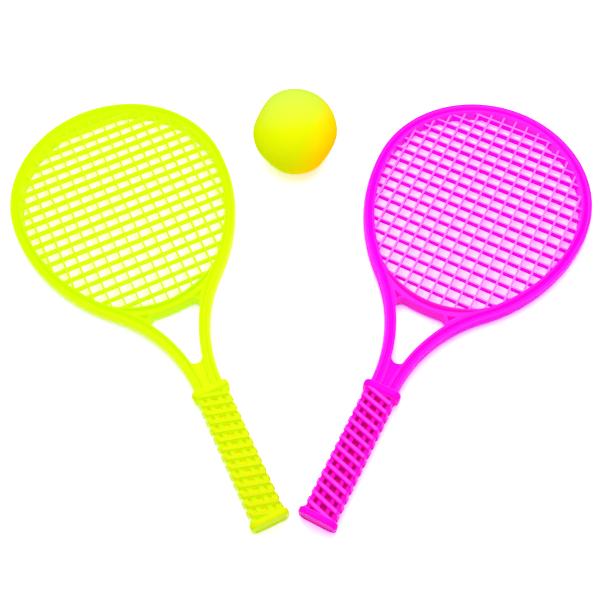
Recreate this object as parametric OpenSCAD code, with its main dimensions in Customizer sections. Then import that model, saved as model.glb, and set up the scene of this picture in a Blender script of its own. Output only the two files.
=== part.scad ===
// Kids tennis set: two moulded rackets lying in a V, and a foam ball between their heads.
// Lengths are in millimetres and angles in degrees. +Z is up, and everything rests on Z = 0.

/* [Rim beam] */
// Width of the rim beam across its middle plane
beam_w = 8.6; // [7:0.2:10]
// Thickness of the rim beam, front to back
beam_t = 12.6; // [11:0.2:14]
// How far the outer flank leans in by the front and back faces
beam_draft = 0.9; // [0.4:0.1:1.2]
// Width of the inner rail's flat top
inner_rail_w = 1.4; // [1:0.1:2]
// Width of the outer rail's flat top
outer_rail_w = 2.2; // [1.5:0.1:2.4]
// How far each wall of the channel leans towards its floor
channel_lean = 0.6; // [0.2:0.1:0.7]
// Thickness of the web between the front and back channels
web_t = 4; // [2.5:0.1:5]
// How much slimmer the flanks are, on each side, than the round top and the arms
joint_step = 0.1; // [0.1:0.05:0.3]
// How far each end of a flank runs into the round top or the arm
joint_run = 3; // [1.5:0.5:3]

/* [Head outline] */
// Radius of the head's round top, on the middle of the beam
head_r = 85.4; // [82:0.2:90]
// Radius of the flanks below the round top
flank_r = 140; // [134:1:150]
// Radius of the arms, which curve the other way
arm_r = 121; // [115:1:135]
// Distance from the centre line to the middle of each arm at the collar
neck_x = 6.9; // [6:0.1:8]

/* [Throat] */
// Distance from the head's centre down to the bridge's upper edge
bridge_drop = 108.5; // [106:0.5:110]
// Radius of the bridge's upper edge
bridge_r = 71; // [66:1:76]
// Width of the bridge at its middle
bridge_w = 7.4; // [6.6:0.1:8.4]
// Radius of the bridge's lower edge
bridge_lower_r = 110; // [95:1:130]
// Radius of the lower edge of the bridge's channel
channel_r = 62; // [58:1:66]
// Width of the bridge's lower rail at its middle
bridge_rail_w = 2.8; // [2:0.1:3.2]
// Width of the lower rail above each corner pocket
corner_rail_w = 3.9; // [3.4:0.1:4.4]
// Radius of the throat's upper corners
corner_r = 5.6; // [4.6:0.1:6.4]
// Width of the rim left round each corner pocket
corner_rim_w = 1.4; // [1:0.1:1.8]
// Radius of the throat's round foot
foot_r = 5.4; // [4.4:0.1:6.4]
// Thickness of the plate between the arms
neck_web_t = 5; // [3:0.25:7]

/* [Strings] */
// Number of mains, which run along the racket
main_count = 15; // [11:2:15]
// Spacing of the mains
main_pitch = 10.5; // [9:0.25:11]
// Number of crosses
cross_count = 18; // [14:2:18]
// Spacing of the crosses
cross_pitch = 10.1; // [9:0.1:10.3]
// Distance from the head's centre down to the middle of the crosses
cross_drop = 11.7; // [10:0.1:13]
// Width of each string
string_w = 1.6; // [1:0.1:2.5]
// Depth of each string, front to back
string_t = 5; // [3:0.25:7]

/* [Collar and butt] */
// Width of the collar
collar_w = 29; // [28:0.2:34]
// Thickness of the collar
collar_t = 19; // [18.4:0.1:20]
// Length of the collar along the racket
collar_l = 6.5; // [5.5:0.5:10]
// Radius of the collar's edges
collar_edge_r = 2.6; // [1:0.1:2.7]
// Radius of the collar's corners, seen along the grip
collar_corner_r = 5.5; // [3:0.5:8]
// Width of the butt
butt_w = 29; // [28:0.2:34]
// Thickness of the butt
butt_t = 22; // [20.5:0.5:26]
// Length of the butt along the racket
butt_l = 4.8; // [4:0.1:9]
// Radius of the butt's edges
butt_edge_r = 1.6; // [0.5:0.1:1.9]
// Radius of the butt's corners, seen along the grip
butt_corner_r = 6.5; // [4.5:0.5:9]
// Width of the raised border round the butt's dished end
butt_border_w = 2.6; // [2:0.1:4]
// Depth of the dished end
butt_dish = 0.8; // [0.4:0.1:1.5]

/* [Grip] */
// Length of the grip between the collar and the butt
grip_l = 97.5; // [85:0.5:120]
// Width over the ribs
grip_w = 25.4; // [24:0.2:26.4]
// Thickness over the ribs
grip_t = 17; // [16:0.2:18]
// Radius of the ribbed section's corners
grip_corner_r = 2.2; // [1:0.1:3.4]
// Width over the outer rails
rails_w = 22.6; // [20.8:0.2:23.2]
// Thickness of the rails
rails_t = 11.4; // [9:0.2:13]
// Width of each outer rail
outer_bar_w = 3.4; // [2:0.1:3.8]
// Width of each inner rail
inner_bar_w = 3; // [2:0.1:3.4]
// Distance from the centre line to the middle of each inner rail
inner_bar_x = 3.9; // [3.4:0.1:4.2]
// Thickness of the core plate that closes the grip between the rails
core_t = 3; // [2:0.25:7]
// Least spacing of the ribs along the grip
rib_pitch = 7.1; // [6:0.1:9]
// Width of each rib along the grip
rib_w = 3.8; // [2:0.1:4.4]
// Spacings that a rib falls on its way across one face
rib_fall = 1; // [0.5:0.1:1.5]
// Fall of a rib from the front or back face to the middle of a side, in steps from one rib to the next
rib_side_fall = 0.25; // [0:0.05:0.5]

/* [Ball] */
// Diameter of the foam ball
ball_d = 67; // [55:1:75]

/* [Layout] */
// Turn of the yellow racket, to the left of straight
yellow_yaw = 24.1; // [23:0.1:32]
// Turn of the pink racket, to the right of straight
pink_yaw = 28.7; // [27:0.1:32]
// Gap between the two butts, which lie side by side
butts_gap = 6; // [2:0.5:40]
// How far the ball lies to the right of the middle between the heads
ball_aside = -2.5; // [-15:0.5:15]
// Distance of the ball beyond the yellow head's centre
ball_ahead = 38.4; // [0:0.1:60]

/* [Hidden] */
$fn = 240;

yellow_colour = [0.86, 0.98, 0.02];
pink_colour = [1.0, 0.05, 0.85];
ball_colour = [0.91, 0.93, 0.08];

// Reach of the cutting shapes past what they cut
past = 1;
// How far a rounded corner runs into the edges it joins
ease = 0.05;
// How far a pocket's corners run into its rounded sides
spill = 0.3;
// Gap between the ends of the strings and the walls they meet
string_gap = 0.02;

// Racket frame: origin at the centre of the head's round top, +Y to the tip, Z = 0 on the middle plane.
// The round top, a flank and an arm run into each other smoothly, so their centres lie on common lines.
beam_hw = beam_w / 2;
flank_c = [head_r - flank_r, 0];
centres_apart = flank_r + arm_r;
arm_c_x = neck_x + arm_r;
arm_c = [arm_c_x, -sqrt(pow(centres_apart, 2) - pow(arm_c_x - flank_c.x, 2))];
arm_inner_r = arm_r + beam_hw;
neck_y = arm_c.y;
arm_taper = atan2(-arm_c.y, arm_c.x - flank_c.x);
flank_inner_r = flank_r - beam_hw + joint_step - string_gap;
flank_run = joint_run / flank_r * 180 / PI;
// Where the inner edges of a flank and an arm meet
joint = flank_c + (flank_r - beam_hw) * unit(arm_c - flank_c);

// The bridge: centres of its upper edge, its lower edge and its channel's lower edge
bridge_low_y = -bridge_drop - bridge_w;
bridge_c = [0, -bridge_drop + bridge_r];
bridge_lower_c = [0, bridge_low_y + bridge_lower_r];
channel_c = [0, bridge_low_y + bridge_rail_w + channel_r];

// The throat's rounded upper corners, each with a pocket between three arcs, and its round foot
corner_c = meeting(bridge_lower_c, bridge_lower_r + corner_r, arm_c, arm_inner_r + corner_r);
corner_top = corner_c + corner_r * unit(bridge_lower_c - corner_c);
corner_side = corner_c + corner_r * unit(arm_c - corner_c);
corner_tip = meeting(bridge_lower_c, bridge_lower_r, arm_c, arm_inner_r);
pocket_top_r = channel_r + corner_rail_w;
pocket_low_r = corner_r + corner_rim_w;
pocket_side_r = arm_inner_r + corner_rim_w;
pocket = [
    meeting(corner_c, pocket_low_r, channel_c, pocket_top_r),
    meeting(channel_c, pocket_top_r, arm_c, pocket_side_r),
    meeting(arm_c, pocket_side_r, corner_c, pocket_low_r)
];
pocket_middle = (pocket[0] + pocket[1] + pocket[2]) / 3;
foot_c = [0, arm_c.y + sqrt(pow(arm_inner_r + foot_r, 2) - pow(arm_c.x, 2))];
foot_side = foot_c + foot_r * unit(arm_c - foot_c);

// Grip, from the collar down
collar_y = neck_y - collar_l / 2;
grip_top_y = neck_y - collar_l;
grip_end_y = grip_top_y - grip_l;
butt_y = grip_end_y - butt_l / 2;
butt_end_y = grip_end_y - butt_l;
rib_gaps = floor((grip_l - rib_w) / rib_pitch);
rib_step = (grip_l - rib_w) / rib_gaps;
rib_rise = rib_fall * rib_step / 2;
rib_drop = rib_side_fall * rib_step;
back_rib_steps = rib_fall + 2 * rib_side_fall;
back_rib_shift = (back_rib_steps - floor(back_rib_steps)) * rib_step;
back_rib_gaps = floor((grip_l - rib_w - back_rib_shift) / rib_step);

// A racket rests on its butt's rounded edge and on the lower edge of its tip, so it leans a little
tip_edge_y = head_r + beam_hw - beam_draft;
rest_run = tip_edge_y - grip_end_y + butt_edge_r;
rest_rise = (butt_t - beam_t) / 2 - butt_edge_r;
lean = atan(rest_rise / rest_run) + asin(butt_edge_r / norm([rest_run, rest_rise]));
head_z = beam_t / 2 * cos(lean) + tip_edge_y * sin(lean);

// The rackets lie with their butts level and a gap between them, and the ball between their heads
pink_head = [
    butt_side(yellow_yaw) + butts_gap + butt_side(pink_yaw),
    butt_end_y * (cos(yellow_yaw) - cos(pink_yaw))
];
ball_at = [pink_head.x / 2 + ball_aside, ball_ahead];

// The middle of the set's box on the floor, from the head circles and the butts
head_reach = head_r + beam_hw;
box_right = pink_head.x + head_reach;
box_back = max(head_reach, pink_head.y + head_reach, ball_at.y + ball_d / 2);
box_front = min(butt_front(yellow_yaw), pink_head.y + butt_front(pink_yaw));
set_middle = [(box_right - head_reach) / 2, (box_back + box_front) / 2];

// How far a butt reaches towards the other one from its head's centre, for a racket turned by yaw
function butt_side(yaw) = (butt_w / 2 - butt_edge_r) * cos(yaw)
    - (butt_end_y + butt_edge_r) * sin(yaw) + butt_edge_r;
// Lowest Y of a butt below its head's centre, for a racket turned by yaw
function butt_front(yaw) = (butt_end_y + butt_edge_r) * cos(yaw)
    - (butt_w / 2 - butt_edge_r) * sin(yaw) - butt_edge_r;
function unit(v) = v / norm(v);
// The crossing of two circles on the right-hand side of the line from the first to the second
function meeting(a, ra, b, rb) =
    let (
        d = norm(b - a),
        along = (ra * ra - rb * rb + d * d) / (2 * d),
        aside = sqrt(ra * ra - along * along),
        dir = unit(b - a)
    )
    a + along * dir + aside * [dir.y, -dir.x];

// The beam's section above the middle plane, from the inner flank to the outer one, slimmer by the given step
function beam_top(slim) = [
    [-beam_hw + slim, beam_t / 2 - slim],
    [-beam_hw + inner_rail_w - slim, beam_t / 2 - slim],
    [-beam_hw + inner_rail_w + channel_lean - slim, web_t / 2 - slim],
    [beam_hw - beam_draft - outer_rail_w - channel_lean + slim, web_t / 2 - slim],
    [beam_hw - beam_draft - outer_rail_w + slim, beam_t / 2 - slim],
    [beam_hw - beam_draft - slim, beam_t / 2 - slim],
    [beam_hw - slim, 0]
];

// The channelled section of the beam, with X outwards from its middle
module beam_section(slim) {
    top = beam_top(slim);
    below = [for (i = [len(top) - 2:-1:0]) [top[i].x, -top[i].y]];
    polygon(concat(top, below));
}

// Beam round centre c, from angle a0 to a1
module beam_arc(c, r, a0, a1, slim = 0) {
    translate(c)
        rotate([0, 0, a0])
            rotate_extrude(angle = a1 - a0)
                translate([r, 0])
                    beam_section(slim);
}

// The same, with the beam's outer side towards the centre
module hollow_arc(c, r, a0, a1) {
    translate(c)
        rotate([0, 0, a0])
            rotate_extrude(angle = a1 - a0)
                translate([r, 0])
                    mirror([1, 0])
                        beam_section(0);
}

module disc(c, r) {
    translate(c)
        circle(r);
}

module both_sides() {
    children();
    mirror([1, 0, 0])
        children();
}

// Plate of thickness t on the middle plane
module plate(t) {
    translate([0, 0, -t / 2])
        linear_extrude(t)
            children();
}

// The rim: a round top, and on each side a flank that runs into it and into the arm below
module rim() {
    beam_arc([0, 0], head_r, 0, 180);
    both_sides() {
        beam_arc(flank_c, flank_r, -arm_taper - flank_run, flank_run, joint_step);
        hollow_arc(arm_c, arm_r, 180 - arm_taper, 180);
    }
}

// Plan of everything inside the rim's inner edge, down to the bridge
module head_inside() {
    intersection() {
        union() {
            disc([0, 0], head_r - beam_hw - string_gap);
            intersection() {
                disc(flank_c, flank_inner_r);
                disc([-flank_c.x, 0], flank_inner_r);
                translate([-head_r, -2 * head_r])
                    square(2 * head_r);
            }
        }
        union() {
            disc(bridge_c, bridge_r - string_gap);
            translate([-head_r, joint.y])
                square(3 * head_r);
        }
    }
}

module strings() {
    first_main_x = -(main_count - 1) / 2 * main_pitch - string_w / 2;
    first_cross_y = -(cross_count - 1) / 2 * cross_pitch - string_w / 2 - cross_drop;
    plate(string_t)
        intersection() {
            head_inside();
            union() {
                for (i = [0:main_count - 1])
                    translate([first_main_x + i * main_pitch, -2 * head_r])
                        square([string_w, 4 * head_r]);
                for (i = [0:cross_count - 1])
                    translate([-2 * head_r, first_cross_y + i * cross_pitch])
                        square([4 * head_r, string_w]);
            }
        }
}

// Bridge between its upper and lower edges, carried on into the arms
module bridge_band() {
    difference() {
        intersection() {
            disc(bridge_lower_c, bridge_lower_r);
            translate([-joint.x - beam_hw, bridge_low_y - past])
                square([2 * (joint.x + beam_hw), joint.y - bridge_low_y + past]);
        }
        disc(bridge_c, bridge_r);
    }
}

// Filling of a throat corner, from inside the bridge to inside the arm
module corner_fill() {
    polygon([
        corner_side,
        corner_top,
        corner_top + [0, bridge_w / 2],
        corner_tip + [beam_hw, bridge_w / 2],
        corner_side + [beam_hw, 0]
    ]);
}

// Plan of the bridge's channel, a crescent that runs out at the rim
module bridge_channel() {
    difference() {
        intersection() {
            disc(channel_c, channel_r);
            translate([-joint.x, bridge_low_y])
                square([2 * joint.x, joint.y - bridge_low_y - past]);
        }
        disc(bridge_c, bridge_r + inner_rail_w);
    }
}

// Plan of the pocket in a throat corner
module corner_pocket() {
    difference() {
        polygon([for (p = pocket) p + spill * unit(p - pocket_middle)]);
        disc(corner_c, pocket_low_r);
        disc(channel_c, pocket_top_r);
        disc(arm_c, pocket_side_r);
    }
}

module bridge() {
    difference() {
        union() {
            plate(beam_t)
                bridge_band();
            both_sides()
                plate(beam_t)
                    corner_fill();
        }
        both_sides() {
            plate(2 * beam_t)
                disc(corner_c, corner_r + ease);
            plate(2 * beam_t)
                disc(arm_c, arm_inner_r);
        }
        for (face = [0, 1])
            mirror([0, 0, face])
                translate([0, 0, web_t / 2]) {
                    linear_extrude(beam_t)
                        bridge_channel();
                    both_sides()
                        linear_extrude(beam_t)
                            corner_pocket();
                }
    }
}

module neck_web() {
    plate(neck_web_t)
        difference() {
            translate([-neck_x, neck_y])
                square([2 * neck_x, foot_side.y - neck_y]);
            disc(foot_c, foot_r + ease);
            both_sides()
                disc(arm_c, arm_inner_r);
        }
}

// Plate across the racket at height y, with rounded corners and rounded edges
module rounded_plate(y, w, t, l, corner_r, edge_r) {
    translate([0, y, 0])
        rotate([90, 0, 0]) {
            for (sx = [-1, 1], sy = [-1, 1])
                translate([sx * (w / 2 - corner_r), sy * (t / 2 - corner_r), 0])
                    rotate_extrude()
                        rounded_half(corner_r, l, edge_r);
            rounded_bar(w - 2 * corner_r, t, l, edge_r);
            rotate([0, 0, 90])
                rounded_bar(t - 2 * corner_r, w, l, edge_r);
        }
}

// Straight middle of such a plate: long in X, wide in Y and l tall
module rounded_bar(long, wide, l, edge_r) {
    rotate([90, 0, 90])
        translate([0, 0, -long / 2])
            linear_extrude(long)
                both_sides()
                    rounded_half(wide / 2, l, edge_r);
}

// Half of a plate's profile, r wide and l tall, with its two outer corners rounded
module rounded_half(r, l, edge_r) {
    translate([0, -l / 2])
        square([r - edge_r, l]);
    translate([0, -l / 2 + edge_r])
        square([r, l - 2 * edge_r]);
    for (side = [-1, 1])
        translate([r - edge_r, side * (l / 2 - edge_r)])
            circle(edge_r);
}

module collar() {
    rounded_plate(collar_y, collar_w, collar_t, collar_l, collar_corner_r, collar_edge_r);
}

module butt() {
    difference() {
        rounded_plate(butt_y, butt_w, butt_t, butt_l, butt_corner_r, butt_edge_r);
        translate([0, butt_end_y + butt_dish, 0])
            rotate([90, 0, 0])
                linear_extrude(butt_dish + past)
                    rounded_square(
                        butt_w - 2 * butt_border_w,
                        butt_t - 2 * butt_border_w,
                        butt_corner_r - butt_border_w
                    );
    }
}

module grip_rails() {
    outer_bar_x = (rails_w - outer_bar_w) / 2;
    both_sides() {
        grip_bar(inner_bar_x, inner_bar_w);
        grip_bar(outer_bar_x, outer_bar_w);
    }
    translate([-outer_bar_x, grip_end_y, -core_t / 2])
        cube([2 * outer_bar_x, grip_l, core_t]);
}

module grip_bar(x, w) {
    translate([x - w / 2, grip_end_y, -rails_t / 2])
        cube([w, grip_l, rails_t]);
}

// Ribs on the front of the grip, which fall to the right across it and on down its sides
module front_ribs() {
    trimmed_to_grip()
        for (i = [0:rib_gaps])
            rib(grip_top_y - rib_w / 2 - i * rib_step);
}

// Ribs on the back, turned over and set so that they meet the front ones in the middle of the sides
module back_ribs() {
    rotate([0, 180, 0])
        trimmed_to_grip()
            for (i = [0:back_rib_gaps])
                rib(grip_top_y - rib_w / 2 - back_rib_shift - i * rib_step);
}

// Keeps the part of the ribs that lies between the rails and the outside of the grip
module trimmed_to_grip() {
    intersection() {
        difference() {
            translate([0, grip_top_y, 0])
                rotate([90, 0, 0])
                    linear_extrude(grip_l)
                        rounded_square(grip_w, grip_t, grip_corner_r);
            translate([-rails_w / 2, grip_end_y - past, -rails_t / 2])
                cube([rails_w, grip_l + 2 * past, rails_t]);
        }
        union()
            children();
    }
}

// One rib, centred at height y: a slanting strip across the front and one down each side
module rib(y) {
    translate([0, 0, rails_t / 2 - past])
        linear_extrude(grip_t)
            polygon([
                [-grip_w / 2, y + rib_rise - rib_w / 2],
                [grip_w / 2, y - rib_rise - rib_w / 2],
                [grip_w / 2, y - rib_rise + rib_w / 2],
                [-grip_w / 2, y + rib_rise + rib_w / 2]
            ]);
    translate([rails_w / 2 - past, 0, 0])
        rib_side(y - rib_rise, -rib_drop);
    translate([-rails_w / 2 + past - grip_w, 0, 0])
        rib_side(y + rib_rise, rib_drop);
}

// Strip down a side, from the front face at height y to the middle of the side
module rib_side(y, drop) {
    rotate([90, 0, 90])
        linear_extrude(grip_w)
            polygon([
                [y - rib_w / 2, grip_t / 2],
                [y + drop - rib_w / 2, 0],
                [y + drop + rib_w / 2, 0],
                [y + rib_w / 2, grip_t / 2]
            ]);
}

module rounded_square(w, t, r) {
    square([w - 2 * r, t], center = true);
    square([w, t - 2 * r], center = true);
    for (sx = [-1, 1], sy = [-1, 1])
        translate([sx * (w / 2 - r), sy * (t / 2 - r)])
            circle(r);
}

// Places a racket on the floor with its head's centre at the given point
module racket_at(place, yaw) {
    translate([place.x - set_middle.x, place.y - set_middle.y, head_z])
        rotate([0, 0, yaw])
            rotate([-lean, 0, 0])
                children();
}

module yellow() {
    color(yellow_colour)
        racket_at([0, 0], yellow_yaw)
            children();
}

module pink() {
    color(pink_colour)
        racket_at(pink_head, -pink_yaw)
            children();
}

module yellow_rim() { yellow() rim(); }
module yellow_bridge() { yellow() bridge(); }
module yellow_strings() { yellow() strings(); }
module yellow_neck_web() { yellow() neck_web(); }
module yellow_collar() { yellow() collar(); }
module yellow_grip_rails() { yellow() grip_rails(); }
module yellow_front_ribs() { yellow() front_ribs(); }
module yellow_back_ribs() { yellow() back_ribs(); }
module yellow_butt() { yellow() butt(); }
module pink_rim() { pink() rim(); }
module pink_bridge() { pink() bridge(); }
module pink_strings() { pink() strings(); }
module pink_neck_web() { pink() neck_web(); }
module pink_collar() { pink() collar(); }
module pink_grip_rails() { pink() grip_rails(); }
module pink_front_ribs() { pink() front_ribs(); }
module pink_back_ribs() { pink() back_ribs(); }
module pink_butt() { pink() butt(); }

module foam_ball() {
    color(ball_colour)
        translate([ball_at.x - set_middle.x, ball_at.y - set_middle.y, ball_d / 2])
            sphere(d = ball_d);
}

yellow_rim();
yellow_bridge();
yellow_strings();
yellow_neck_web();
yellow_collar();
yellow_grip_rails();
yellow_front_ribs();
yellow_back_ribs();
yellow_butt();
pink_rim();
pink_bridge();
pink_strings();
pink_neck_web();
pink_collar();
pink_grip_rails();
pink_front_ribs();
pink_back_ribs();
pink_butt();
foam_ball();
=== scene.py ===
"""Looks of a toy tennis set: a lime racket, a magenta racket and a foam ball, laid out on a white floor."""

import logging
import math
from abc import ABC, abstractmethod
from dataclasses import dataclass, field
from enum import Enum
from typing import Any, Callable, Sequence

import bmesh
import bpy
import numpy as np
from bpy.types import ID, Material, Mesh, MeshVertex, Node, NodeSocket, NodeTree, Object
from mathutils import Matrix, Vector


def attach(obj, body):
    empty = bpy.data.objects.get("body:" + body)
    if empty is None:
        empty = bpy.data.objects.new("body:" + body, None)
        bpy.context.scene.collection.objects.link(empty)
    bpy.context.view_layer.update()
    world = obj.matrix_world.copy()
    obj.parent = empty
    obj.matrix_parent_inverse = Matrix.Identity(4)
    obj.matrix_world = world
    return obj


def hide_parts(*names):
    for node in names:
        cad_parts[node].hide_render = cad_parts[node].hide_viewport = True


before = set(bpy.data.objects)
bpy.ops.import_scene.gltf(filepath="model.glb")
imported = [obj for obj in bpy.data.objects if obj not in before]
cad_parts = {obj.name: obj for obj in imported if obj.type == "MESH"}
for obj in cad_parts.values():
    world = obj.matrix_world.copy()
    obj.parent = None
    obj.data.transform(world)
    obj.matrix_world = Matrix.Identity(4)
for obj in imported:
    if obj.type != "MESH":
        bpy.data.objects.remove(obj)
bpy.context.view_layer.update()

MM = 0.001
LOG = logging.getLogger("tennis_set")

# Steps and tolerances of the meshes, in millimetres and degrees
ARC_STEP = 1.5
SMALL_ARC_STEP = 0.8
MERGE_GAP = 0.002
NO_LENGTH = 0.001
STRAIGHT_CORNER = 178.0
SHARP_EDGE = 40.0
BEVEL_STEPS = 2
QUARTER = math.pi / 2

# The range that most of a noise lies in, and the colour sockets of a mixing node
NOISE_LOW = 0.3
NOISE_HIGH = 0.7
MIX_FIRST = 6
MIX_SECOND = 7
MIX_RESULT = 2

Colour = tuple[float, float, float]
Spot = tuple[float, float, float]
Span = tuple[float, float]


class Body(Enum):
    """The bodies that the pieces ride on."""

    YELLOW = "yellow_racket"
    PINK = "pink_racket"
    BALL = "ball"


class Face(Enum):
    """The two faces of a grip, with the sign of their side of the middle plane."""

    FRONT = 1
    BACK = -1


class Mark(Enum):
    """A strength of painted light or shade that a piece's points carry for their material."""

    # painted light: upright walls shown brighter than faces turned up
    SIDE = "side"
    # painted shade in channels, grooves, pockets and dishes
    PAINTED_SHADE = "sunk"
    # painted highlight along raised and rounded edges
    PAINTED_HIGHLIGHT = "ridge"


def unit(v: Vector) -> Vector:
    """The direction of a vector."""
    return v / v.length


def meeting(a: Vector, ra: float, b: Vector, rb: float) -> Vector:
    """The crossing of two circles to the right of the line from the first centre to the second.

    Args:
        a: Centre of the first circle.
        ra: Its radius.
        b: Centre of the second circle.
        rb: Its radius.

    Returns:
        The point where they cross.
    """
    gap = (b - a).length
    along = (ra * ra - rb * rb + gap * gap) / (2 * gap)
    aside = math.sqrt(ra * ra - along * along)
    way = unit(b - a)
    return a + along * way + aside * Vector((way.y, -way.x))


def turn(centre: Vector, radius: float, start: float, end: float, spacing: float = ARC_STEP) -> list[Vector]:
    """Points on an arc.

    Args:
        centre: Centre of the arc.
        radius: Its radius.
        start: First angle in radians.
        end: Last angle in radians.
        spacing: Greatest distance between two points.

    Returns:
        The points from the first angle to the last.
    """
    count = max(2, math.ceil(abs(end - start) * radius / spacing))
    angles = np.linspace(start, end, count + 1)
    return [centre + radius * Vector((math.cos(a), math.sin(a))) for a in angles]


def arc_between(centre: Vector, p: Vector, q: Vector, spacing: float = ARC_STEP) -> list[Vector]:
    """Points on the shorter arc about a centre from one point to another.

    Args:
        centre: Centre of the arc.
        p: First point, which sets the radius.
        q: Last point.
        spacing: Greatest distance between two points.

    Returns:
        The points from p to q.
    """
    start = math.atan2(p.y - centre.y, p.x - centre.x)
    sweep = math.atan2(q.y - centre.y, q.x - centre.x) - start
    sweep = (sweep + math.pi) % (2 * math.pi) - math.pi
    return turn(centre, (p - centre).length, start, start + sweep, spacing)


def mirrored(points: Sequence[Vector]) -> list[Vector]:
    """The same points on the other side of the racket's middle line, in the opposite order."""
    return [Vector((-p.x, p.y)) for p in reversed(points)]


def rounded(corners: Sequence[tuple[float, float, float]], steps: int = 4) -> list[Vector]:
    """A closed outline with rounded corners.

    Args:
        corners: The x, y and radius of each corner, in order.
        steps: Number of segments round each corner.

    Returns:
        The points of the outline.
    """
    points: list[Vector] = []
    for i, (x, y, radius) in enumerate(corners):
        corner = Vector((x, y))
        back = unit(Vector(corners[i - 1][:2]) - corner)
        ahead = unit(Vector(corners[(i + 1) % len(corners)][:2]) - corner)
        half = math.acos(max(-1.0, min(1.0, back.dot(ahead)))) / 2
        if radius <= 0 or half > math.radians(STRAIGHT_CORNER / 2):
            points.append(corner)
            continue
        reach = radius / math.tan(half)
        centre = corner + unit(back + ahead) * (radius / math.sin(half))
        points += arc_between(centre, corner + back * reach, corner + ahead * reach,
                              radius * (math.pi - 2 * half) / steps)
    return points


def new_object(name: str, data: ID) -> Object:
    """Puts a new object in the scene.

    Args:
        name: Name of the object.
        data: Its mesh, curve, camera or lamp.

    Returns:
        The new object.
    """
    made = bpy.data.objects.new(name, data)
    bpy.context.scene.collection.objects.link(made)
    return made


def plain_mesh(piece: Object) -> Mesh:
    """Works out the mesh that an object shows.

    Args:
        piece: The object, with its modifiers or with its curve's depth.

    Returns:
        A new mesh.
    """
    bpy.context.view_layer.update()
    graph = bpy.context.evaluated_depsgraph_get()
    return bpy.data.meshes.new_from_object(piece.evaluated_get(graph), preserve_all_data_layers=True,
                                           depsgraph=graph)


def settle(piece: Object) -> None:
    """Turns a piece's modifiers into a plain mesh.

    Args:
        piece: The object, which has no modifiers afterwards.
    """
    mesh = plain_mesh(piece)
    piece.modifiers.clear()
    piece.data = mesh


def clean(mesh: Mesh, place: Matrix | None = None) -> None:
    """Merges a mesh's doubles and turns its faces outwards.

    Args:
        mesh: The mesh, in millimetres.
        place: Where a finished mesh goes, without its edges of no length. Without a place it stays.
    """
    work = bmesh.new()
    work.from_mesh(mesh)
    bmesh.ops.remove_doubles(work, verts=work.verts, dist=MERGE_GAP)
    if place is not None:
        bmesh.ops.dissolve_degenerate(work, edges=work.edges, dist=NO_LENGTH)
    bmesh.ops.recalc_face_normals(work, faces=work.faces)
    if place is not None:
        work.transform(place)
    work.to_mesh(mesh)
    work.free()


def line_mesh(name: str, points: Sequence[Vector], closed: bool = False) -> Object:
    """A chain of edges through points of the middle plane.

    Args:
        name: Name of the object.
        points: The points in order.
        closed: Whether the last point joins the first.

    Returns:
        The new object.
    """
    count = len(points)
    edges = [(i, (i + 1) % count) for i in range(count if closed else count - 1)]
    mesh = bpy.data.meshes.new(name)
    mesh.from_pydata([(p.x, p.y, 0.0) for p in points], edges, [])
    return new_object(name, mesh)


def slab(name: str, outline: Sequence[Vector], holes: Sequence[Sequence[Vector]], thickness: float,
         edge: float, inset: float = 0.0) -> Object:
    """A plate about the middle plane, with rounded edges and with holes.

    Args:
        name: Name of the object.
        outline: Its outer outline.
        holes: The outlines of its holes.
        thickness: Its full thickness.
        edge: Radius of its edges.
        inset: How far the outline is drawn in.

    Returns:
        The new object, as a mesh.
    """
    curve = bpy.data.curves.new(name, "CURVE")
    curve.dimensions = "2D"
    curve.fill_mode = "BOTH"
    curve.extrude = thickness / 2 - edge
    curve.bevel_depth = edge
    curve.bevel_resolution = BEVEL_STEPS
    curve.offset = -edge - inset
    for ring in [outline, *holes]:
        spline = curve.splines.new("POLY")
        spline.points.add(len(ring) - 1)
        for point, place in zip(spline.points, ring):
            point.co = (place.x, place.y, 0, 1)
        spline.use_cyclic_u = True
    drawn = new_object(name + "_drawn", curve)
    mesh = plain_mesh(drawn)
    bpy.data.objects.remove(drawn)
    clean(mesh)
    return new_object(name, mesh)


def loft(name: str, rings: Sequence[Sequence[Spot]]) -> Object:
    """A closed skin over rings of points, with a flat cap on the first and the last.

    Args:
        name: Name of the object.
        rings: The rings in order, all with the same number of points.

    Returns:
        The new object.
    """
    count = len(rings[0])
    faces = []
    for i in range(len(rings) - 1):
        for j in range(count):
            k = (j + 1) % count
            faces.append((i * count + j, i * count + k, (i + 1) * count + k, (i + 1) * count + j))
    last = (len(rings) - 1) * count
    faces.append(tuple(range(count)))
    faces.append(tuple(last + j for j in range(count)))
    mesh = bpy.data.meshes.new(name)
    mesh.from_pydata([spot for ring in rings for spot in ring], [], faces)
    clean(mesh)
    return new_object(name, mesh)


def joined(name: str, parts: Sequence[Object]) -> Object:
    """One object of several, whose own objects are removed.

    Args:
        name: Name of the new object.
        parts: The objects to join.

    Returns:
        The new object.
    """
    work = bmesh.new()
    for part in parts:
        work.from_mesh(part.data)
        bpy.data.objects.remove(part)
    mesh = bpy.data.meshes.new(name)
    work.to_mesh(mesh)
    work.free()
    return new_object(name, mesh)


def store(piece: Object, mark: Mark, rule: Callable[[MeshVertex], float]) -> None:
    """Stores a mark on a piece's points.

    Args:
        piece: The piece, in the racket's frame.
        mark: The mark.
        rule: Strength of the mark at a point.
    """
    strengths = [max(0.0, min(1.0, rule(vert))) for vert in piece.data.vertices]
    piece.data.attributes.new(mark.value, "FLOAT", "POINT").data.foreach_set("value", strengths)


def finish_mesh(piece: Object, place: Matrix, sharp: float) -> None:
    """Puts a piece's mesh in its place, closes it and smooths it.

    Args:
        piece: The object, whose mesh is in the racket's frame.
        place: Where the racket lies.
        sharp: Angle in degrees above which an edge stays sharp.
    """
    clean(piece.data, place)
    piece.data.polygons.foreach_set("use_smooth", [True] * len(piece.data.polygons))
    piece.data.set_sharp_from_angle(angle=math.radians(sharp))
    piece.modifiers.new("even_normals", "WEIGHTED_NORMAL").keep_sharp = True
    settle(piece)


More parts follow.
